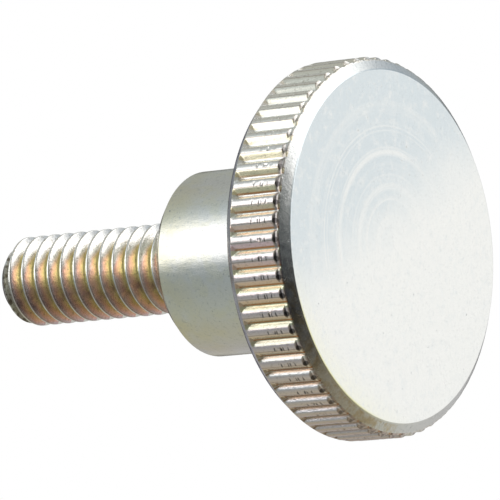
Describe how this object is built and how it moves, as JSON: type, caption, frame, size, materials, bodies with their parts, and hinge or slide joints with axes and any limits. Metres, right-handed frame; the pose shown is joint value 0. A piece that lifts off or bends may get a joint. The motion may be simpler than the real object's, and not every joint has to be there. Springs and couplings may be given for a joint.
{
  "type": "knurled thumb screw",
  "caption": "High-form knurled thumb screw: a thin disc head with a straight knurl, a plain collar with a flat shoulder and a threaded shank, turned in one piece.",
  "frame": {"origin": "centre of the head's flat face, which the screw stands on", "axes": "+Z along the screw's axis, from the face of the head to the tip of the thread; +X through the middle of one land of the knurl"},
  "size_m": [0.016, 0.016, 0.0198],
  "materials": {
    "zinc_steel": "satin, zinc plated with a yellow iridescent chromate"
  },
  "bodies": {
    "root": {"thumb_screw": "zinc_steel"}
  },
  "joints": []
}
